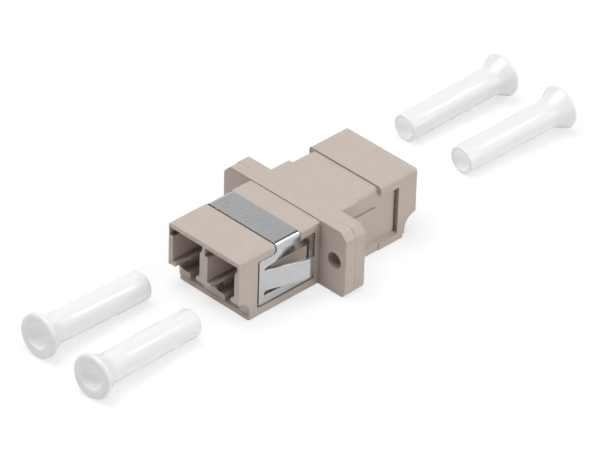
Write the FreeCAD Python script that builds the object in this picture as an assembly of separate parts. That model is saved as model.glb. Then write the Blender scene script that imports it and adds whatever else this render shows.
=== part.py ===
import FreeCAD, Part
import math
import os

from FreeCAD import Vector

# Duplex LC fibre adapter for a screw-fixed panel cut-out, in millimetres.
# X runs across the two ports, Y runs from the clip end to the plain end, Z is up.
# The origin is at the bottom centre, in the plane where the two moulded halves meet.
# Each half is drawn with its mouth at Y = 0 and its body running along +Y, and then put in place.

# Body of one half
body_width = 12.7
body_height = 9.45
front_length = 14.1
rear_length = 13.9
body_top_round = 0.35
body_bottom_round = 0.2
mouth_chamfer = 0.05

# Flange plate of one half
flange_width = 22.0
flange_height = 9.6
plate_thickness = 1.7
front_corner_width = 1.07
front_corner_drop = 1.1
front_corner_upper_round = 0.7
front_corner_lower_round = 0.5
front_bottom_corner = 0.8
rear_corner_width = 0.92
rear_corner_drop = 1.08
rear_corner_upper_round = 0.35
rear_corner_lower_round = 0.25
rear_bottom_corner = 0.9
parting_chamfer = 0.04
screw_spacing = 18.0
screw_hole_diameter = 2.3
screw_hole_height = 4.85

# Ports
port_pitch = 6.25
port_axis_height = 6.3
port_width = 4.85
port_rise = 2.5
port_drop = 2.45
ledge_reach = 2.97
ledge_drop = 1.18
notch_reach = 2.88
notch_drop = 0.55
notch_foot_drop = 1.25
entry_depth = 3.0

# Latch keyway under each port
shelf_thickness = 0.6
shelf_tip_round = 0.22
keyway_width = 3.6
keyway_length = 9.6
entry_width = 5.8
ledge_side_corner_round = 0.75
notch_side_corner_round = 1.5
entry_floor_height = 1.7
catch_slot_width = 2.5
catch_corner_round = 0.25
floor_thickness = 0.68
catch_end = 4.9
catch_pocket_width = 4.4
catch_pocket_length = 3.8

# Scooped lower edge of each mouth
scoop_radius = 2.0
scoop_centre_height = 1.2
floor_lip = 0.07
floor_corner_round = 0.4

# Side recess for one wing of the clip, with a deep slot and a wedge-shaped pad
recess_start = 3.3
recess_length = 9.93
recess_depth = 0.42
recess_sill = 1.2
recess_sill_rise = 0.25
recess_ceiling_drop = 1.2
slot_width = 0.35
slot_extra_depth = 0.2
front_pad_start = 4.6
rear_pad_start = 7.15
pad_end = 12.2
pad_bottom = 3.75
pad_top = 6.75
front_pad_rise = 0.13
rear_pad_rise = 0.2

# Groove over the top, which joins the two side recesses
front_groove_start = 6.25
front_groove_end = 10.65
rear_groove_end = 10.57
groove_corner_round = 0.75
lip_corner_round = 0.5

# Raised cap round the rear mouth
cap_length = 6.6
cap_rise = 0.23
cap_side_rise = 0.1
cap_round = 0.45

# Sleeve barrels and the split sleeves trapped in them
barrel_diameter = 2.9
barrel_reach = 3.3
ferrule_hole_diameter = 1.4
funnel_diameter = 2.0
sleeve_diameter = 1.62
sleeve_bore = 1.25
sleeve_length = 6.8
sleeve_slit = 0.3
sleeve_clearance = 0.05
sleeve_end_clearance = 0.1

# Spring-steel panel clip
sheet = 0.25
clip_seat_gap = 0.02
clip_bend_radius = 0.42
saddle_rise = 0.05
saddle_front_gap = 0.24
saddle_rear_gap = 0.06
wing_side_gap = 0.17
wing_front_gap = 0.25
wing_rear_gap = 0.3
wing_bottom = 1.52
wing_top_gap = 0.12
wing_corner_round = 0.3
tab_root = 4.95
tab_root_overlap = 0.35
tab_bottom = 3.3
tab_top = 6.42
tab_flare = 1.8
tab_flare_length = 4.65
tab_land_rise = 0.15
tab_land_length = 0.9
tab_tip_drop = 0.1
tab_tip_length = 0.8
tab_bend_radius = 0.3
tab_tip_lift = 0.35
tab_tip_low_round = 0.7
tab_tip_high_round = 0.25
window_top = 7.05
window_rear_drop = 0.1
window_front_drop = 0.3
window_shoulder = 1.0
window_corner_round = 0.2
window_shoulder_round = 0.3
window_rear_strip = 0.6
slit_height = 0.7
slit_end_round = 0.2
relief_reach = 0.45

# Push-in dust caps, taken off and lying on the table
cap_total_length = 18.15
tube_diameter = 4.0
tube_tip_chamfer = 0.12
rim_diameter = 6.1
rim_thickness = 0.62
rim_front_chamfer = 0.25
rim_back_chamfer = 0.12
flare_angle = 42.0
flare_round = 1.5
tip_bore_clearance = 0.05
rim_bore_diameter = 3.4
bore_depth = 8.0
web_thickness = 1.0

# Centre of each cap's rim face over the table, and how far its tube turns from the Y axis
front_left_cap_x = -5.79
front_left_cap_y = -38.52
front_left_cap_turn = 1.8
front_right_cap_x = 4.9
front_right_cap_y = -39.4
front_right_cap_turn = 4.1
rear_left_cap_x = -8.37
rear_left_cap_y = 47.54
rear_left_cap_turn = -2.5
rear_right_cap_x = 2.2
rear_right_cap_y = 47.55
rear_right_cap_turn = -3.4

# How far joined solids run into each other, and how far cutting solids stand out of the part
overlap = 0.1
cut_reach = 1.0
same_place = 1e-6

# Worked-out places
half_width = body_width / 2
half_flange = flange_width / 2
port_centres = (-port_pitch / 2, port_pitch / 2)
port_top = port_axis_height + port_rise
shelf_top = port_axis_height - port_drop
shelf_bottom = shelf_top - shelf_thickness
recess_end = recess_start + recess_length
recess_floor_top = recess_sill + recess_sill_rise
recess_ceiling = body_height - recess_ceiling_drop
seat_half_width = half_width - recess_depth
front_groove_floor = body_height + saddle_rise - sheet - clip_seat_gap
wing_front = recess_start + wing_front_gap
wing_rear = recess_end - wing_rear_gap
wing_centre = seat_half_width + wing_side_gap + sheet / 2
above_body = body_height + cut_reach


def box(x0, x1, y0, y1, z0, z1):
    """Box between two corners."""
    return Part.makeBox(x1 - x0, y1 - y0, z1 - z0, Vector(x0, y0, z0))


def rounded_outline(points, radii):
    """Edges of a closed outline whose corners are rounded by the given radii."""
    corners = []
    for i, corner in enumerate(points):
        radius = radii[i]
        if radius <= 0:
            corners.append((corner, corner, None))
            continue
        inward = (points[i - 1] - corner).normalize()
        outward = (points[(i + 1) % len(points)] - corner).normalize()
        half_angle = inward.getAngle(outward) / 2
        reach = radius / math.tan(half_angle)
        bisector = (inward + outward).normalize()
        middle = corner + bisector * (radius / math.sin(half_angle) - radius)
        corners.append((corner + inward * reach, corner + outward * reach, middle))
    edges = []
    for i, (first, last, middle) in enumerate(corners):
        if middle is not None:
            edges.append(Part.Arc(first, middle, last).toShape())
        following = corners[(i + 1) % len(corners)][0]
        if (following - last).Length > same_place:
            edges.append(Part.LineSegment(last, following).toShape())
    return edges


def prism(points, radii, direction):
    """Solid made by pushing a rounded outline along a direction."""
    outline = Part.Wire(rounded_outline(points, radii))
    return Part.Face(outline).extrude(direction)


def section_prism(profile, y0, y1):
    """Solid of an XZ profile, given as (x, z, radius) corners, between two Y planes."""
    points = [Vector(x, y0, z) for x, z, _ in profile]
    radii = [radius for _, _, radius in profile]
    return prism(points, radii, Vector(0, y1 - y0, 0))


def side_prism(profile, x0, x1):
    """Solid of a YZ profile, given as (distance from mouth, z, radius), between two X planes."""
    points = [Vector(x0, y, z) for y, z, _ in profile]
    radii = [radius for _, _, radius in profile]
    return prism(points, radii, Vector(x1 - x0, 0, 0))


def two_sided_profile(centre, right_half, left_half):
    """Closed XZ profile from the corners of its two halves, each listed from the bottom up."""
    right = [(centre + x, z, radius) for x, z, radius in right_half]
    left = [(centre - x, z, radius) for x, z, radius in reversed(left_half)]
    return right + left


def even_profile(centre, half_profile):
    """Closed XZ profile whose two halves are alike."""
    return two_sided_profile(centre, half_profile, half_profile)


def cylinder_y(radius, y0, y1, x, z):
    """Cylinder along Y."""
    return Part.makeCylinder(radius, y1 - y0, Vector(x, y0, z), Vector(0, 1, 0))


def cone_y(radius0, radius1, y0, y1, x, z):
    """Cone along Y."""
    return Part.makeCone(radius0, radius1, y1 - y0, Vector(x, y0, z), Vector(0, 1, 0))


def mirrored(shape):
    """Copy of a shape on the other side of the middle plane X = 0."""
    return shape.mirror(Vector(0, 0, 0), Vector(1, 0, 0))


def put_in_front(shape):
    """The shape moved from where it is drawn to the front, with the parting plane at Y = 0."""
    placed = shape.copy()
    placed.translate(Vector(0, -front_length - plate_thickness, 0))
    return placed


def put_at_rear(shape):
    """The shape moved to the parting plane and turned half round about Z, to the rear."""
    placed = shape.copy()
    placed.translate(Vector(0, -rear_length - plate_thickness, 0))
    placed.rotate(Vector(0, 0, 0), Vector(0, 0, 1), 180)
    return placed


def edges_at_y(shape, y, lowest_top=-math.inf):
    """Edges of a shape that lie in one Y plane and reach above a height."""
    return [edge for edge in shape.Edges
            if abs(edge.BoundBox.YMin - y) < same_place
            and abs(edge.BoundBox.YMax - y) < same_place
            and edge.BoundBox.ZMax > lowest_top + same_place]


def body_section(half, height, top_round, y0, y1):
    """Rounded rectangular length of the body between two Y planes."""
    return section_prism(even_profile(0, [
        (half, 0, body_bottom_round),
        (half, height, top_round),
    ]), y0, y1)


def with_soft_mouth(body):
    """The body with its outer edge at the mouth broken by a small chamfer."""
    return body.makeChamfer(mouth_chamfer, edges_at_y(body, 0))


def front_plate_profile():
    """Right half of the outline of the front flange plate, with its cut upper corner."""
    return [
        (half_flange, 0, front_bottom_corner),
        (half_flange, flange_height - front_corner_drop, front_corner_lower_round),
        (half_flange - front_corner_width, flange_height, front_corner_upper_round),
    ]


def rear_plate_profile():
    """Right half of the outline of the rear flange plate, with its cut upper corner."""
    return [
        (half_flange, 0, rear_bottom_corner),
        (half_flange, flange_height - rear_corner_drop, rear_corner_lower_round),
        (half_flange - rear_corner_width, flange_height, rear_corner_upper_round),
    ]


def flange_plate(start, right_half):
    """Flange plate with two screw holes, and a fine chamfer above its base at the parting plane."""
    end = start + plate_thickness
    bottom_corner = right_half[0][2]
    plate = section_prism(even_profile(0, right_half), start, end)
    plate = plate.makeChamfer(parting_chamfer, edges_at_y(plate, end, bottom_corner))
    for side in (-1, 1):
        hole = cylinder_y(screw_hole_diameter / 2, start - cut_reach, end + cut_reach,
                          side * screw_spacing / 2, screw_hole_height)
        plate = plate.cut(hole)
    return plate


def entry_profile(x):
    """XZ profile of the mouth of one port, with a square ledge on one side and a notch on the other."""
    plug_half = port_width / 2
    key_half = keyway_width / 2
    catch_half = catch_slot_width / 2
    catch = [
        (catch_half, floor_thickness, catch_corner_round),
        (catch_half, entry_floor_height, 0),
    ]
    shelf = [
        (entry_width / 2, shelf_bottom, 0),
        (key_half, shelf_bottom, shelf_tip_round),
        (key_half, shelf_top, shelf_tip_round),
        (plug_half, shelf_top, 0),
    ]
    notch_side = [
        *catch,
        (entry_width / 2, entry_floor_height, notch_side_corner_round),
        *shelf,
        (plug_half, port_top - notch_foot_drop, 0),
        (notch_reach, port_top - notch_drop, 0),
        (notch_reach, port_top, 0),
    ]
    ledge_side = [
        *catch,
        (entry_width / 2, entry_floor_height, ledge_side_corner_round),
        *shelf,
        (plug_half, port_top - ledge_drop, 0),
        (ledge_reach, port_top - ledge_drop, 0),
        (ledge_reach, port_top, 0),
    ]
    return two_sided_profile(x, notch_side, ledge_side)


def port_cavity(x, depth):
    """Space of one port: entry, plug zone and the latch keyway below."""
    plug_half = port_width / 2
    key_half = keyway_width / 2
    catch_half = catch_slot_width / 2
    pocket_half = catch_pocket_width / 2
    entry = section_prism(entry_profile(x), -cut_reach, entry_depth)
    latch_run = section_prism(even_profile(x, [
        (plug_half, entry_floor_height, 0),
        (plug_half, shelf_bottom, 0),
        (key_half, shelf_bottom, shelf_tip_round),
        (key_half, shelf_top, shelf_tip_round),
        (plug_half, shelf_top, 0),
        (plug_half, port_top, 0),
    ]), entry_depth - overlap, keyway_length)
    plug_zone = box(x - plug_half, x + plug_half, -cut_reach, depth, shelf_top, port_top)
    catch_slot = section_prism(even_profile(x, [
        (catch_half, floor_thickness, catch_corner_round),
        (catch_half, entry_floor_height + overlap, 0),
    ]), -cut_reach, catch_end)
    catch_pocket = box(x - pocket_half, x + pocket_half, catch_end - overlap,
                       catch_end + catch_pocket_length,
                       floor_thickness, entry_floor_height + overlap)
    return plug_zone.multiFuse([entry, latch_run, catch_slot, catch_pocket])


def floor_corner(lip_y):
    """Sliver cut off the +X corner of the floor's lip, which leaves the corner rounded."""
    sliver = box(half_width - floor_corner_round, half_width + cut_reach,
                 lip_y - cut_reach, lip_y + floor_corner_round, -cut_reach, floor_thickness)
    kept = Part.makeCylinder(floor_corner_round, flange_height,
                             Vector(half_width - floor_corner_round, lip_y + floor_corner_round,
                                    -2 * cut_reach))
    return sliver.cut(kept)


def scoop():
    """Quarter-round cut across the lower edge of the mouth, down to the lip of the floor."""
    lip_y = scoop_radius - floor_lip
    round_cut = Part.makeCylinder(scoop_radius, flange_width,
                                  Vector(-half_flange, 0, scoop_centre_height),
                                  Vector(1, 0, 0))
    block_cut = box(-half_flange, half_flange, -cut_reach, scoop_radius,
                    floor_thickness, scoop_centre_height)
    floor_cut = box(-half_flange, half_flange, -cut_reach, lip_y, -cut_reach, floor_thickness)
    above_floor = box(-half_flange, half_flange, -scoop_radius, scoop_radius,
                      floor_thickness, scoop_centre_height + scoop_radius)
    corner = floor_corner(lip_y)
    return round_cut.common(above_floor).multiFuse([block_cut, floor_cut, corner, mirrored(corner)])


def side_recess(groove_start, groove_end, pad_start, pad_rise):
    """Recess for one wing of the clip, on the +X side, with its deep slot and inner pad."""
    recess = side_prism([
        (recess_start, recess_floor_top, 0),
        (recess_end, recess_floor_top, 0),
        (recess_end, recess_ceiling, 0),
        (groove_end, recess_ceiling, 0),
        (groove_end, above_body, 0),
        (groove_start, above_body, 0),
        (groove_start, recess_ceiling, lip_corner_round),
        (recess_start, recess_ceiling, 0),
    ], seat_half_width, half_width + cut_reach)
    sill = section_prism([
        (seat_half_width, recess_floor_top, 0),
        (half_width, recess_sill, 0),
        (half_width + cut_reach, recess_sill, 0),
        (half_width + cut_reach, recess_floor_top, 0),
    ], recess_start, recess_end)
    slot = box(seat_half_width - slot_extra_depth, half_width, recess_start,
               recess_start + slot_width, recess_floor_top, recess_ceiling)
    pad = section_prism([
        (seat_half_width, pad_bottom, 0),
        (seat_half_width + pad_rise, pad_top, 0),
        (seat_half_width, pad_top, 0),
    ], pad_start, pad_end)
    return recess.multiFuse([sill, slot]).cut(pad)


def top_groove(groove_start, groove_end, floor):
    """Groove over the top between the two side recesses, with rounded shoulders below it."""
    block = box(-half_width - cut_reach, half_width + cut_reach, groove_start, groove_end,
                recess_ceiling, above_body)
    kept = section_prism(even_profile(0, [
        (seat_half_width, recess_ceiling - cut_reach, 0),
        (seat_half_width, floor, groove_corner_round),
    ]), groove_start, groove_end)
    return block.cut(kept)


def clip_seat(groove_start, groove_end, floor, pad_start, pad_rise):
    """All that is cut for a clip: both side recesses and the groove over the top."""
    recess = side_recess(groove_start, groove_end, pad_start, pad_rise)
    groove = top_groove(groove_start, groove_end, floor)
    return recess.multiFuse([mirrored(recess), groove])


def barrel(x, depth):
    """Barrel that holds one end of a sleeve, standing on the web behind the port."""
    return cylinder_y(barrel_diameter / 2, depth - barrel_reach, depth + overlap,
                      x, port_axis_height)


def barrel_bore(x, depth):
    """Funnel that leads a ferrule in and keeps the sleeve from coming out, and the sleeve's pocket."""
    parting = depth + plate_thickness
    pocket_radius = sleeve_diameter / 2 + sleeve_clearance
    pocket_start = parting - sleeve_length / 2 - sleeve_end_clearance
    funnel = cone_y(funnel_diameter / 2, ferrule_hole_diameter / 2, depth - barrel_reach,
                    pocket_start, x, port_axis_height)
    pocket = cylinder_y(pocket_radius, pocket_start, parting + overlap, x, port_axis_height)
    return funnel.fuse(pocket)


def with_ports(shell, depth):
    """The shell with both ports opened, the barrels set in them and the mouth scooped."""
    for x in port_centres:
        shell = shell.cut(port_cavity(x, depth))
    for x in port_centres:
        shell = shell.fuse(barrel(x, depth))
    for x in port_centres:
        shell = shell.cut(barrel_bore(x, depth))
    return shell.cut(scoop())


def front_housing():
    """Front half, with the seat of the clip."""
    body = body_section(half_width, body_height, body_top_round, 0, front_length + overlap)
    plate = flange_plate(front_length, front_plate_profile())
    shell = with_soft_mouth(body).fuse(plate)
    shell = shell.cut(clip_seat(front_groove_start, front_groove_end, front_groove_floor,
                                front_pad_start, front_pad_rise))
    return put_in_front(with_ports(shell, front_length).removeSplitter())


def rear_housing():
    """Rear half, with an empty clip seat and a raised cap round its mouth."""
    cap = body_section(half_width + cap_side_rise, body_height + cap_rise, cap_round,
                       0, cap_length)
    body = body_section(half_width, body_height, body_top_round,
                        cap_length - overlap, rear_length + overlap)
    plate = flange_plate(rear_length, rear_plate_profile())
    shell = with_soft_mouth(cap).multiFuse([body, plate])
    shell = shell.cut(clip_seat(cap_length, rear_groove_end, body_height,
                                rear_pad_start, rear_pad_rise))
    return put_at_rear(with_ports(shell, rear_length).removeSplitter())


def bent_sheet(points, bend_radius, normal, direction):
    """Sheet of even thickness that follows a bent centre line, pushed along a direction."""
    near, far, near_radii, far_radii = [], [], [], []
    for i, here in enumerate(points):
        before = points[max(i - 1, 0)]
        after = points[min(i + 1, len(points) - 1)]
        arriving = (here - before if i > 0 else after - here).normalize()
        leaving = (after - here if i < len(points) - 1 else here - before).normalize()
        across = normal.cross(arriving + leaving).normalize()
        reach = sheet / 2 / across.dot(normal.cross(arriving))
        turn = normal.dot(arriving.cross(leaving))
        near.append(here + across * reach)
        far.append(here - across * reach)
        inner = bend_radius if abs(turn) > same_place else 0
        outer = bend_radius + sheet if abs(turn) > same_place else 0
        near_radii.append(inner if turn > 0 else outer)
        far_radii.append(outer if turn > 0 else inner)
    return prism(near + far[::-1], near_radii + far_radii[::-1], direction)


def clip_blank():
    """Sheet folded into a saddle, over the full length of the wings."""
    saddle_z = front_groove_floor + clip_seat_gap + sheet / 2
    centre_line = [
        Vector(-wing_centre, wing_front, wing_bottom),
        Vector(-wing_centre, wing_front, saddle_z),
        Vector(wing_centre, wing_front, saddle_z),
        Vector(wing_centre, wing_front, wing_bottom),
    ]
    return bent_sheet(centre_line, clip_bend_radius, Vector(0, 1, 0),
                      Vector(0, wing_rear - wing_front, 0))


def wing_outline():
    """Side view of the whole clip, without its window."""
    saddle_front = front_groove_start + saddle_front_gap
    saddle_rear = front_groove_end - saddle_rear_gap
    wing_top = recess_ceiling - wing_top_gap
    return [
        (wing_front, wing_bottom, wing_corner_round),
        (wing_rear, wing_bottom, wing_corner_round),
        (wing_rear, wing_top, 0),
        (saddle_rear, wing_top, 0),
        (saddle_rear, above_body, 0),
        (saddle_front, above_body, 0),
        (saddle_front, wing_top, lip_corner_round),
        (wing_front, wing_top, 0),
    ]


def window_outline():
    """Side view of the opening that the latch tab is cut from."""
    rear = wing_rear - window_rear_strip
    slit_bottom = tab_bottom - slit_height
    relief = tab_root - relief_reach
    return [
        (relief, slit_bottom, slit_end_round),
        (rear, slit_bottom, window_corner_round),
        (rear, window_top - window_rear_drop, window_corner_round),
        (tab_root + window_shoulder, window_top, window_shoulder_round),
        (relief, window_top - window_front_drop, slit_end_round),
        (relief, tab_top, 0),
        (tab_root, tab_top, 0),
        (tab_root, tab_bottom, 0),
        (relief, tab_bottom, slit_end_round),
    ]


def latch_tab():
    """Latch tab on the +X side: it flares out from its root and is bent straight at the tip."""
    land_start = tab_root + tab_flare_length
    tip_start = land_start + tab_land_length
    tip_end = tip_start + tab_tip_length
    land_out = tab_flare + tab_land_rise
    rows = [
        (tab_root - tab_root_overlap, 0.0),
        (tab_root, 0.0),
        (land_start, tab_flare),
        (tip_start, land_out),
        (tip_end, land_out - tab_tip_drop),
    ]
    centre_line = [Vector(wing_centre + out, y, tab_bottom) for y, out in rows]
    strip = bent_sheet(centre_line, tab_bend_radius, Vector(0, 0, 1),
                       Vector(0, 0, tab_top - tab_bottom))
    front = tab_root - tab_root_overlap - cut_reach
    kept = side_prism([
        (front, tab_bottom, 0),
        (tab_root, tab_bottom, 0),
        (tip_end, tab_bottom + tab_tip_lift, tab_tip_low_round),
        (tip_end, tab_top, tab_tip_high_round),
        (front, tab_top, 0),
    ], wing_centre - cut_reach, wing_centre + land_out + cut_reach)
    return strip.common(kept)


def panel_clip():
    """Panel clip: saddle, two wings with windows, and a latch tab in each window."""
    clip = clip_blank().common(side_prism(wing_outline(), -half_flange, half_flange))
    clip = clip.cut(side_prism(window_outline(), -half_flange, half_flange))
    tab = latch_tab()
    clip = clip.multiFuse([tab, mirrored(tab)])
    return put_in_front(clip.removeSplitter())


def split_sleeve(x):
    """Split ceramic sleeve, slit along its upper side."""
    start = -sleeve_length / 2
    end = sleeve_length / 2
    ring = cylinder_y(sleeve_diameter / 2, start, end, x, port_axis_height)
    ring = ring.cut(cylinder_y(sleeve_bore / 2, start - cut_reach, end + cut_reach,
                               x, port_axis_height))
    slit = box(x - sleeve_slit / 2, x + sleeve_slit / 2, start - cut_reach, end + cut_reach,
               port_axis_height, port_axis_height + sleeve_diameter)
    return ring.cut(slit)


def profile_line(x0, y0, x1, y1):
    """Straight run of a turned profile."""
    return Part.LineSegment(Vector(x0, y0, 0), Vector(x1, y1, 0)).toShape()


def flare_edges(start, edge, tube):
    """Cone behind the rim and the round that leads it into the tube, and where the tube starts."""
    angle = math.radians(flare_angle)
    round_y = tube + flare_round * (1 - math.cos(angle))
    round_x = start + (edge - round_y) / math.tan(angle)
    neck = round_x + flare_round * math.sin(angle)
    circle = Part.Circle(Vector(neck, tube + flare_round, 0), Vector(0, 0, 1), flare_round)
    arc = Part.ArcOfCircle(circle, math.radians(270 - flare_angle), math.radians(270))
    return [profile_line(start, edge, round_x, round_y), arc.toBSpline().toShape()], neck


def turned_cap():
    """Dust cap turned about the X axis: rim, flare, long tube, and a web between two bores."""
    end = cap_total_length
    rim = rim_diameter / 2
    rim_face_edge = rim - rim_front_chamfer
    rim_back_edge = rim - rim_back_chamfer
    tube = tube_diameter / 2
    tip_edge = tube - tube_tip_chamfer
    rim_bore = rim_bore_diameter / 2
    tip_bore = barrel_diameter / 2 + tip_bore_clearance
    web_end = bore_depth + web_thickness
    flare, neck = flare_edges(rim_thickness, rim_back_edge, tube)
    edges = [
        profile_line(0, rim_bore, 0, rim_face_edge),
        profile_line(0, rim_face_edge, rim_front_chamfer, rim),
        profile_line(rim_front_chamfer, rim, rim_thickness - rim_back_chamfer, rim),
        profile_line(rim_thickness - rim_back_chamfer, rim, rim_thickness, rim_back_edge),
        *flare,
        profile_line(neck, tube, end - tube_tip_chamfer, tube),
        profile_line(end - tube_tip_chamfer, tube, end, tip_edge),
        profile_line(end, tip_edge, end, tip_bore),
        profile_line(end, tip_bore, web_end, tip_bore),
        profile_line(web_end, tip_bore, web_end, 0),
        profile_line(web_end, 0, bore_depth, 0),
        profile_line(bore_depth, 0, bore_depth, rim_bore),
        profile_line(bore_depth, rim_bore, 0, rim_bore),
    ]
    profile = Part.Face(Part.Wire(Part.__sortEdges__(edges)))
    return profile.revolve(Vector(0, 0, 0), Vector(1, 0, 0), 360)


def dust_cap(x, y, sense, turn):
    """Dust cap lying on its rim and its tip, which tilts it a few degrees."""
    drop = (rim_diameter - tube_diameter) / 2
    tilt = math.degrees(math.asin(drop / (cap_total_length - tube_tip_chamfer - rim_thickness)))
    cap = turned_cap()
    cap.rotate(Vector(0, 0, 0), Vector(0, 1, 0), tilt)
    cap.rotate(Vector(0, 0, 0), Vector(0, 0, 1), 90 * sense + turn)
    cap.translate(Vector(x, y, 0))
    cap.translate(Vector(0, 0, -cap.optimalBoundingBox(True, False).ZMin))
    return cap


def main():
    os.makedirs("parts", exist_ok=True)
    nodes = {
        "front_housing": front_housing(),
        "rear_housing": rear_housing(),
        "panel_clip": panel_clip(),
        "split_sleeve_left": split_sleeve(port_centres[0]),
        "split_sleeve_right": split_sleeve(port_centres[1]),
        "dust_cap_front_left": dust_cap(front_left_cap_x, front_left_cap_y, 1, front_left_cap_turn),
        "dust_cap_front_right": dust_cap(front_right_cap_x, front_right_cap_y, 1,
                                         front_right_cap_turn),
        "dust_cap_rear_left": dust_cap(rear_left_cap_x, rear_left_cap_y, -1, rear_left_cap_turn),
        "dust_cap_rear_right": dust_cap(rear_right_cap_x, rear_right_cap_y, -1,
                                        rear_right_cap_turn),
    }
    for name, shape in nodes.items():
        shape.exportStep("parts/" + name + ".step")
        bounds = shape.optimalBoundingBox(True, False)
        print(name, "solids", len(shape.Solids), "valid", shape.isValid(),
              "volume %.3f" % shape.Volume,
              "x %.2f %.2f y %.2f %.2f z %.2f %.2f" % (bounds.XMin, bounds.XMax, bounds.YMin,
                                                      bounds.YMax, bounds.ZMin, bounds.ZMax))


main()
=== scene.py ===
import math

import bmesh
import bpy
from mathutils import Euler, Matrix, Vector


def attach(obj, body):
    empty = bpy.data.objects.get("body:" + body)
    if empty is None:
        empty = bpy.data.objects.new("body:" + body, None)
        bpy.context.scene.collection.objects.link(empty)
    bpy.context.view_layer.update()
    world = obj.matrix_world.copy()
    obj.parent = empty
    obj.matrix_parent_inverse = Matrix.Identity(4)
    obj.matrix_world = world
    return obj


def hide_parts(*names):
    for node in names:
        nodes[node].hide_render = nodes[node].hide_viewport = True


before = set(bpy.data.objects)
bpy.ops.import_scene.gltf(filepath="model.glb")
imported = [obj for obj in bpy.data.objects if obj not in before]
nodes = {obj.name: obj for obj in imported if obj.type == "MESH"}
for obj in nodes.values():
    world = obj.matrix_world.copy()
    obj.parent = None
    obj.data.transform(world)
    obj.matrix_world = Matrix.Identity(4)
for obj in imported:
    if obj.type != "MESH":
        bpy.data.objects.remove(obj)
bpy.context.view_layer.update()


# Moulded halves: two beige engineering plastic mouldings, welded face to face at the flange.
# The surface is a fine satin grain with faint mottling, every arris is slightly softened and paler,
# partly worn and partly a painted highlight, and the ports and the gaps round the clip hold painted
# shade.

mm = 0.001


def add_node(tree, kind, inputs=None, **settings):
    """Node of a tree, with its settings and the values of its sockets."""
    node = tree.nodes.new(kind)
    for key, value in settings.items():
        setattr(node, key, value)
    for key, value in (inputs or {}).items():
        node.inputs[key].default_value = value
    return node


def join(tree, *pairs):
    """Links between sockets, given as (output, input) pairs."""
    for start, end in pairs:
        tree.links.new(start, end)


def new_group(name, sockets):
    """Empty shader group with its inputs and outputs, and its two end nodes."""
    group = bpy.data.node_groups.new(name, "ShaderNodeTree")
    for label, way, kind, value in sockets:
        socket = group.interface.new_socket(label, in_out=way, socket_type="NodeSocket" + kind)
        if value is not None:
            socket.default_value = value
    return group, group.nodes.new("NodeGroupInput"), group.nodes.new("NodeGroupOutput")


def new_material(name, **constants):
    """Material with one Principled BSDF, whose even values are set on its own sockets."""
    material = bpy.data.materials.new(name)
    material.use_nodes = True
    tree = material.node_tree
    shader = tree.nodes["Principled BSDF"]
    for label, value in constants.items():
        shader.inputs[label.replace("_", " ")].default_value = value
    return material, tree, shader


def place_group(tree, group, inputs):
    """A shader group placed in a material with its own values."""
    placed = tree.nodes.new("ShaderNodeGroup")
    placed.node_tree = group
    for label, value in inputs.items():
        placed.inputs[label].default_value = value
    return placed


def satin_grain():
    """Moulded surface: fine even grain, wider soft waves, and faint mottling of the tone."""
    group, start, end = new_group("satin_grain", [
        ("Grain size", "INPUT", "Float", 0.1 * mm),
        ("Wave size", "INPUT", "Float", 2.0 * mm),
        ("Wave share", "INPUT", "Float", 0.3),
        ("Height", "OUTPUT", "Float", None),
        ("Mottle", "OUTPUT", "Float", None),
    ])
    where = add_node(group, "ShaderNodeTexCoord")
    fine_scale = add_node(group, "ShaderNodeMath", {0: 1.0}, operation="DIVIDE")
    wide_scale = add_node(group, "ShaderNodeMath", {0: 1.0}, operation="DIVIDE")
    fine = add_node(group, "ShaderNodeTexNoise", {"Detail": 3.0, "Roughness": 0.6})
    wide = add_node(group, "ShaderNodeTexNoise", {"Detail": 2.0, "Roughness": 0.5})
    blend = add_node(group, "ShaderNodeMix", data_type="FLOAT")
    join(
        group,
        (start.outputs["Grain size"], fine_scale.inputs[1]),
        (start.outputs["Wave size"], wide_scale.inputs[1]),
        (where.outputs["Object"], fine.inputs["Vector"]),
        (where.outputs["Object"], wide.inputs["Vector"]),
        (fine_scale.outputs[0], fine.inputs["Scale"]),
        (wide_scale.outputs[0], wide.inputs["Scale"]),
        (start.outputs["Wave share"], blend.inputs["Factor"]),
        (fine.outputs["Fac"], blend.inputs["A"]),
        (wide.outputs["Fac"], blend.inputs["B"]),
        (blend.outputs["Result"], end.inputs["Height"]),
        (wide.outputs["Fac"], end.inputs["Mottle"]),
    )
    return group


def soft_arris():
    """Rounded look of sharp edges, and a mask of how near a point is to one."""
    group, start, end = new_group("soft_arris", [
        ("Radius", "INPUT", "Float", 0.1 * mm),
        ("Normal", "OUTPUT", "Vector", None),
        ("Edge", "OUTPUT", "Float", None),
    ])
    rounded = add_node(group, "ShaderNodeBevel", samples=6)
    flat = add_node(group, "ShaderNodeNewGeometry")
    agreement = add_node(group, "ShaderNodeVectorMath", operation="DOT_PRODUCT")
    edge = add_node(group, "ShaderNodeMapRange",
                    {"From Min": 0.995, "From Max": 0.75, "To Min": 0.0, "To Max": 1.0})
    join(
        group,
        (start.outputs["Radius"], rounded.inputs["Radius"]),
        (rounded.outputs["Normal"], agreement.inputs[0]),
        (flat.outputs["Normal"], agreement.inputs[1]),
        (agreement.outputs["Value"], edge.inputs["Value"]),
        (rounded.outputs["Normal"], end.inputs["Normal"]),
        (edge.outputs["Result"], end.inputs["Edge"]),
    )
    return group


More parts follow.
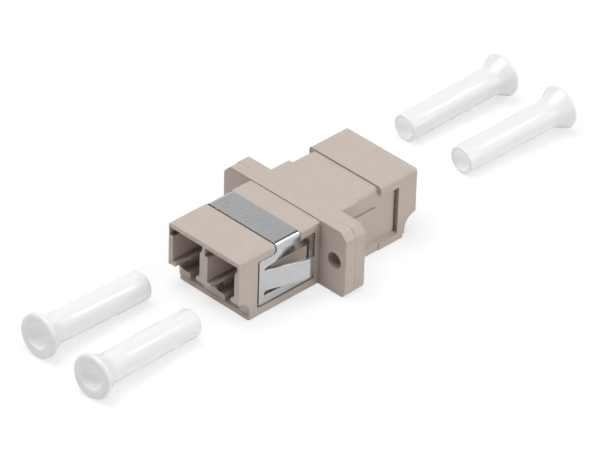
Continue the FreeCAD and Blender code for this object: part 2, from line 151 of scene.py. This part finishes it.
def hollow_and_gap_mask():
    """Mask of deep hollows, broken up by noise, and of narrow gaps beside other pieces.

    Neither the foot of a piece, where it stands on the table, nor the welded seam of the two
    halves, which is at Y = 0, counts as a gap.
    """
    group, start, end = new_group("hollow_and_gap_mask", [
        ("Reach", "INPUT", "Float", 1.0 * mm),
        ("Gap", "INPUT", "Float", 0.5 * mm),
        ("Strength", "INPUT", "Float", 0.5),
        ("Hollow mask", "OUTPUT", "Float", None),
    ])
    where = add_node(group, "ShaderNodeTexCoord")
    place = add_node(group, "ShaderNodeSeparateXYZ")
    open_sky = add_node(group, "ShaderNodeAmbientOcclusion", samples=6, only_local=True)
    shut_in = add_node(group, "ShaderNodeMapRange",
                       {"From Min": 0.74, "From Max": 0.25, "To Min": 0.0, "To Max": 1.0})
    patches = add_node(group, "ShaderNodeTexNoise", {"Scale": 900.0, "Detail": 3.0})
    uneven = add_node(group, "ShaderNodeMapRange",
                      {"From Min": 0.3, "From Max": 0.7, "To Min": 0.6, "To Max": 1.0})
    patchy_hollow = add_node(group, "ShaderNodeMath", operation="MULTIPLY")
    hollow_amount = add_node(group, "ShaderNodeMath", operation="MULTIPLY")
    alone = add_node(group, "ShaderNodeAmbientOcclusion", samples=6, only_local=True)
    beside = add_node(group, "ShaderNodeAmbientOcclusion", samples=6)
    covered = add_node(group, "ShaderNodeMath", operation="SUBTRACT")
    pinched = add_node(group, "ShaderNodeMapRange",
                       {"From Min": 0.06, "From Max": 0.35, "To Min": 0.0, "To Max": 0.85})
    above_foot = add_node(group, "ShaderNodeMapRange",
                          {"From Min": 0.5 * mm, "From Max": 0.9 * mm, "To Min": 0.0, "To Max": 1.0})
    from_weld = add_node(group, "ShaderNodeMath", operation="ABSOLUTE")
    off_weld = add_node(group, "ShaderNodeMapRange",
                        {"From Min": 0.3 * mm, "From Max": 0.6 * mm, "To Min": 0.0, "To Max": 1.0})
    true_gap = add_node(group, "ShaderNodeMath", operation="MULTIPLY")
    gap_amount = add_node(group, "ShaderNodeMath", operation="MULTIPLY")
    either = add_node(group, "ShaderNodeMath", operation="MAXIMUM")
    join(
        group,
        (start.outputs["Reach"], open_sky.inputs["Distance"]),
        (open_sky.outputs["AO"], shut_in.inputs["Value"]),
        (where.outputs["Object"], patches.inputs["Vector"]),
        (patches.outputs["Fac"], uneven.inputs["Value"]),
        (shut_in.outputs["Result"], patchy_hollow.inputs[0]),
        (uneven.outputs["Result"], patchy_hollow.inputs[1]),
        (patchy_hollow.outputs[0], hollow_amount.inputs[0]),
        (start.outputs["Strength"], hollow_amount.inputs[1]),
        (start.outputs["Gap"], alone.inputs["Distance"]),
        (start.outputs["Gap"], beside.inputs["Distance"]),
        (alone.outputs["AO"], covered.inputs[0]),
        (beside.outputs["AO"], covered.inputs[1]),
        (covered.outputs[0], pinched.inputs["Value"]),
        (where.outputs["Object"], place.inputs["Vector"]),
        (place.outputs["Z"], above_foot.inputs["Value"]),
        (place.outputs["Y"], from_weld.inputs[0]),
        (from_weld.outputs[0], off_weld.inputs["Value"]),
        (above_foot.outputs["Result"], true_gap.inputs[0]),
        (off_weld.outputs["Result"], true_gap.inputs[1]),
        (pinched.outputs["Result"], gap_amount.inputs[0]),
        (true_gap.outputs[0], gap_amount.inputs[1]),
        (hollow_amount.outputs[0], either.inputs[0]),
        (gap_amount.outputs[0], either.inputs[1]),
        (either.outputs[0], end.inputs["Hollow mask"]),
    )
    return group


grain_group = satin_grain()
arris_group = soft_arris()
hollow_mask_group = hollow_and_gap_mask()

beige = (0.597, 0.508, 0.449, 1.0)
beige_light = (0.633, 0.545, 0.486, 1.0)
beige_wear_and_highlight = (0.700, 0.625, 0.565, 1.0)
beige_painted_shade = (0.120, 0.104, 0.086, 1.0)


def moulded_beige():
    """Beige plastic of both halves."""
    material, tree, shader = new_material("moulded_beige", Specular_IOR_Level=0.4)
    grain = place_group(tree, grain_group,
                        {"Grain size": 0.12 * mm, "Wave size": 1.8 * mm, "Wave share": 0.35})
    arris = place_group(tree, arris_group, {"Radius": 0.07 * mm})
    painted_shade = place_group(tree, hollow_mask_group, {"Reach": 3.0 * mm, "Gap": 0.45 * mm, "Strength": 1.0})
    mottled = add_node(tree, "ShaderNodeMix", {"A": beige, "B": beige_light}, data_type="RGBA")
    mottle_share = add_node(tree, "ShaderNodeMapRange",
                            {"From Min": 0.35, "From Max": 0.65, "To Min": 0.0, "To Max": 0.5})
    # Arrises paler, broken up by the grain: partly wear, partly a painted highlight.
    wear_and_highlight_share = add_node(tree, "ShaderNodeMapRange",
                         {"From Min": 0.4, "From Max": 0.6, "To Min": 0.1, "To Max": 0.55})
    edge_wear_and_highlight = add_node(tree, "ShaderNodeMath", operation="MULTIPLY")
    with_wear_and_highlight = add_node(tree, "ShaderNodeMix", {"B": beige_wear_and_highlight}, data_type="RGBA")
    # Painted shade: the ports, the hollows and the gaps round the clip are darkened towards a deep
    # brown.
    painted_shade_mix = add_node(tree, "ShaderNodeMix", {"B": beige_painted_shade}, data_type="RGBA")
    rough = add_node(tree, "ShaderNodeMapRange",
                     {"From Min": 0.3, "From Max": 0.7, "To Min": 0.42, "To Max": 0.56})
    bump = add_node(tree, "ShaderNodeBump", {"Strength": 0.25, "Distance": 0.01 * mm})
    join(
        tree,
        (grain.outputs["Mottle"], mottle_share.inputs["Value"]),
        (mottle_share.outputs["Result"], mottled.inputs["Factor"]),
        (mottled.outputs["Result"], with_wear_and_highlight.inputs["A"]),
        (grain.outputs["Height"], wear_and_highlight_share.inputs["Value"]),
        (wear_and_highlight_share.outputs["Result"], edge_wear_and_highlight.inputs[0]),
        (arris.outputs["Edge"], edge_wear_and_highlight.inputs[1]),
        (edge_wear_and_highlight.outputs[0], with_wear_and_highlight.inputs["Factor"]),
        (with_wear_and_highlight.outputs["Result"], painted_shade_mix.inputs["A"]),
        (painted_shade.outputs["Hollow mask"], painted_shade_mix.inputs["Factor"]),
        (painted_shade_mix.outputs["Result"], shader.inputs["Base Color"]),
        (grain.outputs["Mottle"], rough.inputs["Value"]),
        (rough.outputs["Result"], shader.inputs["Roughness"]),
        (grain.outputs["Height"], bump.inputs["Height"]),
        (arris.outputs["Normal"], bump.inputs["Normal"]),
        (bump.outputs["Normal"], shader.inputs["Normal"]),
    )
    return material


def give_material(obj, material):
    """One material for every slot of a CAD node."""
    for slot in obj.material_slots:
        slot.material = material


housing_plastic = moulded_beige()
for name in ("front_housing", "rear_housing"):
    give_material(nodes[name], housing_plastic)


# Panel clip: one strip of thin rolled spring steel, stamped and folded over the front half, with
# two latch tabs bent out of windows in its wings. Fine rolling streaks run across the strip, the
# way that the adapter is long, and the stamped edges carry a painted highlight.

def rolling_streaks():
    """Fine streaks along Y, turned by a small slant, and wider bands that lie the same way."""
    group, start, end = new_group("rolling_streaks", [
        ("Streak width", "INPUT", "Float", 0.06 * mm),
        ("Streak length", "INPUT", "Float", 3.0 * mm),
        ("Slant", "INPUT", "Float", 0.0),
        ("Streak", "OUTPUT", "Float", None),
        ("Band", "OUTPUT", "Float", None),
    ])
    where = add_node(group, "ShaderNodeTexCoord")
    turn = add_node(group, "ShaderNodeVectorRotate", rotation_type="Z_AXIS")
    across = add_node(group, "ShaderNodeMath", {0: 1.0}, operation="DIVIDE")
    along = add_node(group, "ShaderNodeMath", {0: 1.0}, operation="DIVIDE")
    scale = add_node(group, "ShaderNodeCombineXYZ")
    stretch = add_node(group, "ShaderNodeVectorMath", operation="MULTIPLY")
    fine = add_node(group, "ShaderNodeTexNoise",
                    {"Scale": 1.0, "Detail": 4.0, "Roughness": 0.65})
    wide = add_node(group, "ShaderNodeTexNoise",
                    {"Scale": 0.22, "Detail": 2.0, "Roughness": 0.5})
    join(
        group,
        (where.outputs["Object"], turn.inputs["Vector"]),
        (start.outputs["Slant"], turn.inputs["Angle"]),
        (start.outputs["Streak width"], across.inputs[1]),
        (start.outputs["Streak length"], along.inputs[1]),
        (across.outputs[0], scale.inputs["X"]),
        (along.outputs[0], scale.inputs["Y"]),
        (across.outputs[0], scale.inputs["Z"]),
        (turn.outputs["Vector"], stretch.inputs[0]),
        (scale.outputs["Vector"], stretch.inputs[1]),
        (stretch.outputs["Vector"], fine.inputs["Vector"]),
        (stretch.outputs["Vector"], wide.inputs["Vector"]),
        (fine.outputs["Fac"], end.inputs["Streak"]),
        (wide.outputs["Fac"], end.inputs["Band"]),
    )
    return group


streak_group = rolling_streaks()

steel_dull = (0.47, 0.475, 0.485, 1.0)
steel_pale = (0.62, 0.625, 0.63, 1.0)
steel_edge_highlight = (0.85, 0.85, 0.86, 1.0)
streak_width = 0.085 * mm
streak_length = 1.5 * mm
streak_slant = math.radians(7.0)


def rolled_steel():
    """Spring steel of the clip."""
    material, tree, shader = new_material("rolled_steel", Metallic=1.0)
    streaks = place_group(tree, streak_group, {
        "Streak width": streak_width, "Streak length": streak_length, "Slant": streak_slant})
    arris = place_group(tree, arris_group, {"Radius": 0.05 * mm})
    streak_share = add_node(tree, "ShaderNodeMapRange",
                            {"From Min": 0.3, "From Max": 0.7, "To Min": 0.0, "To Max": 1.0})
    tone = add_node(tree, "ShaderNodeMix", {"A": steel_dull, "B": steel_pale}, data_type="RGBA")
    # Painted highlight: the metal is made paler along its sharp stamped edges.
    painted_edge_highlight = add_node(tree, "ShaderNodeMix", {"B": steel_edge_highlight}, data_type="RGBA")
    rough = add_node(tree, "ShaderNodeMapRange",
                     {"From Min": 0.25, "From Max": 0.75, "To Min": 0.12, "To Max": 0.22})
    bump = add_node(tree, "ShaderNodeBump", {"Strength": 0.3, "Distance": 0.004 * mm})
    join(
        tree,
        (streaks.outputs["Streak"], streak_share.inputs["Value"]),
        (streak_share.outputs["Result"], tone.inputs["Factor"]),
        (tone.outputs["Result"], painted_edge_highlight.inputs["A"]),
        (arris.outputs["Edge"], painted_edge_highlight.inputs["Factor"]),
        (painted_edge_highlight.outputs["Result"], shader.inputs["Base Color"]),
        (streaks.outputs["Band"], rough.inputs["Value"]),
        (rough.outputs["Result"], shader.inputs["Roughness"]),
        (streaks.outputs["Streak"], bump.inputs["Height"]),
        (arris.outputs["Normal"], bump.inputs["Normal"]),
        (bump.outputs["Normal"], shader.inputs["Normal"]),
    )
    return material


give_material(nodes["panel_clip"], rolled_steel())


# Split sleeves: two ground zirconia tubes, slit along the top, that float in the barrels.
# They are smooth and glossy, with a very fine ground grain and a faint change of tone.

ceramic_shade = (0.86, 0.86, 0.83, 1.0)
ceramic_white = (0.93, 0.93, 0.91, 1.0)


def zirconia():
    """White ceramic of the sleeves."""
    material, tree, shader = new_material("zirconia", Coat_Weight=0.4, Coat_Roughness=0.08)
    grain = place_group(tree, grain_group,
                        {"Grain size": 0.03 * mm, "Wave size": 0.6 * mm, "Wave share": 0.5})
    arris = place_group(tree, arris_group, {"Radius": 0.03 * mm})
    tone = add_node(tree, "ShaderNodeMix", {"A": ceramic_shade, "B": ceramic_white},
                    data_type="RGBA")
    rough = add_node(tree, "ShaderNodeMapRange",
                     {"From Min": 0.3, "From Max": 0.7, "To Min": 0.18, "To Max": 0.28})
    bump = add_node(tree, "ShaderNodeBump", {"Strength": 0.2, "Distance": 0.002 * mm})
    join(
        tree,
        (grain.outputs["Mottle"], tone.inputs["Factor"]),
        (tone.outputs["Result"], shader.inputs["Base Color"]),
        (grain.outputs["Mottle"], rough.inputs["Value"]),
        (rough.outputs["Result"], shader.inputs["Roughness"]),
        (grain.outputs["Height"], bump.inputs["Height"]),
        (arris.outputs["Normal"], bump.inputs["Normal"]),
        (bump.outputs["Normal"], shader.inputs["Normal"]),
    )
    return material


sleeve_ceramic = zirconia()
for name in ("split_sleeve_left", "split_sleeve_right"):
    give_material(nodes[name], sleeve_ceramic)


# Dust caps: four soft white plastic plugs, moulded as bodies of revolution with a rolled rim,
# a trumpet-shaped flare and a long hollow tube with a web across its middle. They lie on the
# table in line with the ports, each on its rim and its tip, so the rim leans back a little.

cap_length = 18.15 * mm
neck_radius = 2.02 * mm
tip_radius = 1.98 * mm
tip_round = 0.25 * mm
rim_radius = 3.04 * mm
rim_front_round = 0.42 * mm
rim_back_round = 0.22 * mm
rim_thickness = 0.72 * mm
rim_back_angle = 40
flare_end = 2.75 * mm
flare_curl = 1.2
rim_bore = 1.7 * mm
tip_bore = 1.5 * mm
bore_round = 0.1 * mm
web_front = 8.0 * mm
web_back = 9.0 * mm
tube_rings = 5
cap_segments = 96
cap_sharp_angle = math.radians(40.0)
pole_gap = 0.001 * mm

# X and Y of the middle of each rim, the way along Y that the tube points, and its turn in
# degrees from that way.
cap_places = {
    "dust_cap_front_left": (-5.79 * mm, -38.52 * mm, 1, 1.8),
    "dust_cap_front_right": (4.9 * mm, -39.4 * mm, 1, 4.1),
    "dust_cap_rear_left": (-8.37 * mm, 47.54 * mm, -1, -2.5),
    "dust_cap_rear_right": (2.2 * mm, 47.55 * mm, -1, -3.4),
}


def rounded_corner(x, r, radius, start_angle, end_angle, steps=6):
    """Points of an arc about a centre, from one angle to another, in degrees."""
    points = []
    for i in range(steps + 1):
        angle = math.radians(start_angle + (end_angle - start_angle) * i / steps)
        points.append((x + radius * math.cos(angle), r + radius * math.sin(angle)))
    return points


def flare_points(start, edge, steps=14):
    """Trumpet curve from the back of the rim down to the neck of the tube."""
    points = []
    for i in range(1, steps + 1):
        share = i / steps
        x = start + (flare_end - start) * share
        fall = (1.0 - share) ** flare_curl
        points.append((x, neck_radius + (edge - neck_radius) * fall))
    return points


def cap_profile():
    """Closed half section of a cap as (distance from the rim face, distance from the axis)."""
    profile = [(0.0, rim_bore + bore_round)]
    profile += rounded_corner(rim_front_round, rim_radius - rim_front_round, rim_front_round,
                              180, 90)
    profile += rounded_corner(rim_thickness - rim_back_round, rim_radius - rim_back_round,
                              rim_back_round, 90, rim_back_angle, 4)
    profile += flare_points(*profile[-1])
    for i in range(1, tube_rings):
        share = i / tube_rings
        profile.append((flare_end + (cap_length - tip_round - flare_end) * share,
                        neck_radius + (tip_radius - neck_radius) * share))
    profile += rounded_corner(cap_length - tip_round, tip_radius - tip_round, tip_round, 90, 0, 4)
    profile += rounded_corner(cap_length - bore_round, tip_bore + bore_round, bore_round, 0, -90, 3)
    profile += [(web_back, tip_bore), (web_back, 0.0), (web_front, 0.0), (web_front, rim_bore)]
    profile += rounded_corner(bore_round, rim_bore + bore_round, bore_round, -90, -180, 3)
    return profile


def turned_tree():
    """Geometry Nodes tree that turns a half section round its axis and lays it in place."""
    tree = bpy.data.node_groups.new("turned_moulding", "GeometryNodeTree")
    for label, kind in (("Section", "Geometry"), ("Segments", "Int"), ("Tilt", "Float"),
                        ("Heading", "Float"), ("Place", "Vector"), ("Material", "Material")):
        tree.interface.new_socket(label, in_out="INPUT", socket_type="NodeSocket" + kind)
    tree.interface.new_socket("Moulding", in_out="OUTPUT", socket_type="NodeSocketGeometry")
    start = tree.nodes.new("NodeGroupInput")
    end = tree.nodes.new("NodeGroupOutput")
    count = add_node(tree, "GeometryNodeAttributeDomainSize", component="MESH")
    columns = add_node(tree, "ShaderNodeMath", {1: 1.0}, operation="ADD")
    grid = add_node(tree, "GeometryNodeMeshGrid", {"Size X": 1.0, "Size Y": 1.0})
    index = add_node(tree, "GeometryNodeInputIndex")
    quotient = add_node(tree, "ShaderNodeMath", operation="DIVIDE")
    column = add_node(tree, "ShaderNodeMath", operation="FLOOR")
    row = add_node(tree, "ShaderNodeMath", operation="MODULO")
    here = add_node(tree, "GeometryNodeInputPosition")
    sample = add_node(tree, "GeometryNodeSampleIndex", data_type="FLOAT_VECTOR", domain="POINT")
    apart = add_node(tree, "ShaderNodeSeparateXYZ")
    part_turn = add_node(tree, "ShaderNodeMath", operation="DIVIDE")
    angle = add_node(tree, "ShaderNodeMath", {1: 2.0 * math.pi}, operation="MULTIPLY")
    cosine = add_node(tree, "ShaderNodeMath", operation="COSINE")
    sine = add_node(tree, "ShaderNodeMath", operation="SINE")
    level = add_node(tree, "ShaderNodeMath", operation="MULTIPLY")
    height = add_node(tree, "ShaderNodeMath", operation="MULTIPLY")
    point = add_node(tree, "ShaderNodeCombineXYZ")
    move = add_node(tree, "GeometryNodeSetPosition")
    merge = add_node(tree, "GeometryNodeMergeByDistance", {"Distance": pole_gap})
    tilt = add_node(tree, "ShaderNodeCombineXYZ")
    heading = add_node(tree, "ShaderNodeCombineXYZ")
    lean = add_node(tree, "GeometryNodeTransform")
    lay = add_node(tree, "GeometryNodeTransform")
    smooth = add_node(tree, "GeometryNodeSetShadeSmooth", {"Shade Smooth": True})
    finish = add_node(tree, "GeometryNodeSetMaterial")
    real = add_node(tree, "GeometryNodeRealizeInstances")
    join(
        tree,
        (start.outputs["Section"], count.inputs["Geometry"]),
        (start.outputs["Segments"], columns.inputs[0]),
        (columns.outputs[0], grid.inputs["Vertices X"]),
        (count.outputs["Point Count"], grid.inputs["Vertices Y"]),
        (index.outputs["Index"], quotient.inputs[0]),
        (count.outputs["Point Count"], quotient.inputs[1]),
        (quotient.outputs[0], column.inputs[0]),
        (index.outputs["Index"], row.inputs[0]),
        (count.outputs["Point Count"], row.inputs[1]),
        (start.outputs["Section"], sample.inputs["Geometry"]),
        (here.outputs["Position"], sample.inputs["Value"]),
        (row.outputs[0], sample.inputs["Index"]),
        (sample.outputs["Value"], apart.inputs["Vector"]),
        (column.outputs[0], part_turn.inputs[0]),
        (start.outputs["Segments"], part_turn.inputs[1]),
        (part_turn.outputs[0], angle.inputs[0]),
        (angle.outputs[0], cosine.inputs[0]),
        (angle.outputs[0], sine.inputs[0]),
        (apart.outputs["Y"], level.inputs[0]),
        (cosine.outputs[0], level.inputs[1]),
        (apart.outputs["Y"], height.inputs[0]),
        (sine.outputs[0], height.inputs[1]),
        (apart.outputs["X"], point.inputs["X"]),
        (level.outputs[0], point.inputs["Y"]),
        (height.outputs[0], point.inputs["Z"]),
        (grid.outputs["Mesh"], move.inputs["Geometry"]),
        (point.outputs["Vector"], move.inputs["Position"]),
        (move.outputs["Geometry"], merge.inputs["Geometry"]),
        (start.outputs["Tilt"], tilt.inputs["Y"]),
        (start.outputs["Heading"], heading.inputs["Z"]),
        (merge.outputs["Geometry"], lean.inputs["Geometry"]),
        (tilt.outputs["Vector"], lean.inputs["Rotation"]),
        (lean.outputs["Geometry"], lay.inputs["Geometry"]),
        (heading.outputs["Vector"], lay.inputs["Rotation"]),
        (start.outputs["Place"], lay.inputs["Translation"]),
        (lay.outputs["Geometry"], smooth.inputs["Geometry"]),
        (smooth.outputs["Geometry"], real.inputs["Geometry"]),
        (real.outputs["Geometry"], finish.inputs["Geometry"]),
        (start.outputs["Material"], finish.inputs["Material"]),
        (finish.outputs["Geometry"], end.inputs["Moulding"]),
    )
    return tree


def set_inputs(modifier, values):
    """Values of a Geometry Nodes modifier, given by the names of its inputs."""
    for socket in modifier.node_group.interface.items_tree:
        if socket.item_type == "SOCKET" and socket.in_out == "INPUT" and socket.name in values:
            modifier[socket.identifier] = values[socket.name]


def as_plain_mesh(obj, sharp_angle):
    """The object's modifiers taken into its mesh, with outward normals and sharp corners."""
    depsgraph = bpy.context.evaluated_depsgraph_get()
    mesh = bpy.data.meshes.new_from_object(obj.evaluated_get(depsgraph))
    obj.modifiers.clear()
    obj.data = mesh
    shape = bmesh.new()
    shape.from_mesh(mesh)
    bmesh.ops.recalc_face_normals(shape, faces=shape.faces)
    shape.to_mesh(mesh)
    shape.free()
    mesh.set_sharp_from_angle(angle=sharp_angle)
    mesh.name = obj.name


cap_white = (0.975, 0.975, 0.98, 1.0)
cap_white_low = (0.955, 0.955, 0.96, 1.0)
wall_painted_glow = (0.028, 0.028, 0.028, 1.0)
bore_painted_glow = (0.19, 0.19, 0.19, 1.0)


def soft_white():
    """White polyethylene of the caps. A painted glow stands in for the light that their thin wall
    lets through: faint all over, stronger deep in the bores.
    """
    material, tree, shader = new_material(
        "soft_white_plastic", Subsurface_Weight=0.3, Subsurface_Scale=0.4 * mm,
        Subsurface_Radius=(1.0, 1.0, 1.0), Specular_IOR_Level=0.6, Emission_Strength=1.0)
    grain = place_group(tree, grain_group,
                        {"Grain size": 0.08 * mm, "Wave size": 1.4 * mm, "Wave share": 0.6})
    tone = add_node(tree, "ShaderNodeMix", {"A": cap_white_low, "B": cap_white},
                    data_type="RGBA")
    rough = add_node(tree, "ShaderNodeMapRange",
                     {"From Min": 0.3, "From Max": 0.7, "To Min": 0.18, "To Max": 0.25})
    hollow = place_group(tree, hollow_mask_group, {"Reach": 3.4 * mm, "Gap": 0.01 * mm, "Strength": 1.0})
    # Painted glow: emission that grows with the depth of the bore.
    painted_glow = add_node(tree, "ShaderNodeMix", {"A": wall_painted_glow, "B": bore_painted_glow},
                       data_type="RGBA")
    bump = add_node(tree, "ShaderNodeBump", {"Strength": 0.08, "Distance": 0.004 * mm})
    join(
        tree,
        (grain.outputs["Mottle"], tone.inputs["Factor"]),
        (tone.outputs["Result"], shader.inputs["Base Color"]),
        (grain.outputs["Mottle"], rough.inputs["Value"]),
        (rough.outputs["Result"], shader.inputs["Roughness"]),
        (hollow.outputs["Hollow mask"], painted_glow.inputs["Factor"]),
        (painted_glow.outputs["Result"], shader.inputs["Emission Color"]),
        (grain.outputs["Height"], bump.inputs["Height"]),
        (bump.outputs["Normal"], shader.inputs["Normal"]),
    )
    return material


cap_plastic = soft_white()
turned_moulding = turned_tree()
cap_section = bpy.data.meshes.new("cap_section")
section_points = cap_profile()
cap_section.from_pydata([(x, r, 0.0) for x, r in section_points],
                        [(i, i + 1) for i in range(len(section_points) - 1)], [])
cap_tilt = math.asin((rim_radius - tip_radius) / (cap_length - tip_round - rim_thickness))
cap_lift = max(x * math.sin(cap_tilt) + r * math.cos(cap_tilt) for x, r in section_points)
for name, (x, y, sense, turn) in cap_places.items():
    cap = bpy.data.objects.new("moulded_" + name, cap_section)
    bpy.context.scene.collection.objects.link(cap)
    spin = cap.modifiers.new("turned", "NODES")
    spin.node_group = turned_moulding
    set_inputs(spin, {"Segments": cap_segments, "Tilt": cap_tilt,
                      "Heading": math.radians(90.0 * sense + turn),
                      "Place": (x, y, cap_lift), "Material": cap_plastic})
    as_plain_mesh(cap, cap_sharp_angle)
    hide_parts(name)
    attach(cap, "root")


# Table: a plain white sheet that keeps the soft contact shadows of the part. It lies a hair
# below the part, so that the two undersides stay apart when seen from below.

table_half = 1.5
table_drop = 0.02 * mm
no_glow = (0.0, 0.0, 0.0, 1.0)
bounced_white = (0.88, 0.88, 0.88, 1.0)
mirrored_white = (0.76, 0.76, 0.76, 1.0)
mirrored_glow = (0.22, 0.22, 0.22, 1.0)
seen_white = (0.40, 0.40, 0.405, 1.0)
seen_glow = (0.65, 0.65, 0.65, 1.0)


def white_table():
    """White for the camera and in reflections, and a little darker where light bounces off."""
    material, tree, shader = new_material("white_table", Roughness=0.9, Specular_IOR_Level=0.0,
                                          Emission_Strength=1.0)
    path = add_node(tree, "ShaderNodeLightPath")
    unseen = add_node(tree, "ShaderNodeMix", {"A": bounced_white, "B": mirrored_white},
                      data_type="RGBA")
    unseen_glow = add_node(tree, "ShaderNodeMix", {"A": no_glow, "B": mirrored_glow},
                           data_type="RGBA")
    seen = add_node(tree, "ShaderNodeMath", operation="MAXIMUM")
    colour = add_node(tree, "ShaderNodeMix", {"B": seen_white}, data_type="RGBA")
    glow = add_node(tree, "ShaderNodeMix", {"B": seen_glow}, data_type="RGBA")
    join(
        tree,
        (path.outputs["Is Glossy Ray"], unseen.inputs["Factor"]),
        (path.outputs["Is Glossy Ray"], unseen_glow.inputs["Factor"]),
        (path.outputs["Is Camera Ray"], seen.inputs[0]),
        (path.outputs["Is Transmission Ray"], seen.inputs[1]),
        (seen.outputs[0], colour.inputs["Factor"]),
        (seen.outputs[0], glow.inputs["Factor"]),
        (unseen.outputs["Result"], colour.inputs["A"]),
        (unseen_glow.outputs["Result"], glow.inputs["A"]),
        (colour.outputs["Result"], shader.inputs["Base Color"]),
        (glow.outputs["Result"], shader.inputs["Emission Color"]),
    )
    return material


table_mesh = bpy.data.meshes.new("table")
table_mesh.from_pydata(
    [(-table_half, -table_half, -table_drop), (table_half, -table_half, -table_drop),
     (table_half, table_half, -table_drop), (-table_half, table_half, -table_drop)],
    [], [(0, 1, 2, 3)])
table_mesh.materials.append(white_table())
table = bpy.data.objects.new("table", table_mesh)
bpy.context.scene.collection.objects.link(table)


# Light: a dim studio room with one wide soft lamp almost overhead, a weaker panel low on the
# right, and a small high lamp at the rear right for the streaks on the caps and the bright bend
# of the clip. The backdrop that the camera and the bright steel see is white below, grey above.

room_light = 0.14
overhead_place = Vector((-0.12, -0.11, 0.62))
overhead_size = 0.60
overhead_power = 3.3
panel_place = Vector((0.60, 0.14, 0.24))
panel_size = 0.5
panel_power = 1.0
back_place = Vector((0.27, 0.38, 0.455))
back_size = 0.20
back_power = 0.55

# Upward share of the direction of view, and the tone of the backdrop there.
backdrop_tones = (
    (0.00, 1.00),
    (0.40, 1.00),
    (0.57, 0.72),
    (0.72, 0.20),
    (1.00, 0.30),
)

world = bpy.data.worlds.new("studio")
bpy.context.scene.world = world
world.use_nodes = True
room = world.node_tree
backdrop = room.nodes["Background"]
backdrop.inputs["Strength"].default_value = 1.0
ray = add_node(room, "ShaderNodeLightPath")
ray_mirrored = add_node(room, "ShaderNodeMath", operation="MAXIMUM")
ray_through = add_node(room, "ShaderNodeMath", operation="MAXIMUM")
direction = add_node(room, "ShaderNodeTexCoord")
direction_parts = add_node(room, "ShaderNodeSeparateXYZ")
tones = add_node(room, "ShaderNodeValToRGB")
for place, _ in backdrop_tones[1:-1]:
    tones.color_ramp.elements.new(place)
for element, (place, tone) in zip(tones.color_ramp.elements, backdrop_tones):
    element.position = place
    element.color = (tone, tone, tone, 1.0)
shown = add_node(room, "ShaderNodeMix", {
    "A": (room_light, room_light, room_light, 1.0)}, data_type="RGBA")
join(
    room,
    (direction.outputs["Generated"], direction_parts.inputs["Vector"]),
    (direction_parts.outputs["Z"], tones.inputs["Fac"]),
    (ray.outputs["Is Camera Ray"], ray_mirrored.inputs[0]),
    (ray.outputs["Is Glossy Ray"], ray_mirrored.inputs[1]),
    (ray_mirrored.outputs[0], ray_through.inputs[0]),
    (ray.outputs["Is Transmission Ray"], ray_through.inputs[1]),
    (ray_through.outputs[0], shown.inputs["Factor"]),
    (tones.outputs["Color"], shown.inputs["B"]),
    (shown.outputs["Result"], backdrop.inputs["Color"]),
)


def soft_lamp(name, place, size, power):
    """Round area lamp that looks at the middle of the part."""
    data = bpy.data.lights.new(name, "AREA")
    data.shape = "DISK"
    data.size = size
    data.energy = power
    lamp = bpy.data.objects.new(name, data)
    lamp.location = place
    lamp.rotation_euler = (-place).to_track_quat("-Z", "Y").to_euler()
    bpy.context.scene.collection.objects.link(lamp)


soft_lamp("overhead_lamp", overhead_place, overhead_size, overhead_power)
soft_lamp("side_panel", panel_place, panel_size, panel_power)
soft_lamp("back_lamp", back_place, back_size, back_power)


# Camera: a long lens, as the photograph's nearly parallel edges ask for. It looks down on the
# clip end from the right, and leans over by a small roll.

camera_place = Vector((0.376334, -0.383531, 0.374292))
camera_heading = math.radians(44.369)
camera_drop = math.radians(90.0 - 34.572)
camera_roll = math.radians(1.888)
lens_length = 309.276
film_width = 36.0
nearest = 0.01
farthest = 20.0

camera_data = bpy.data.cameras.new("camera")
camera_data.sensor_width = film_width
camera_data.lens = lens_length
camera_data.clip_start = nearest
camera_data.clip_end = farthest
camera = bpy.data.objects.new("camera", camera_data)
aim = (Euler((camera_drop, 0.0, camera_heading)).to_matrix()
       @ Matrix.Rotation(camera_roll, 3, "Z"))
camera.matrix_world = Matrix.Translation(camera_place) @ aim.to_4x4()
bpy.context.scene.collection.objects.link(camera)
bpy.context.scene.camera = camera
bpy.context.scene.view_settings.view_transform = "Standard"
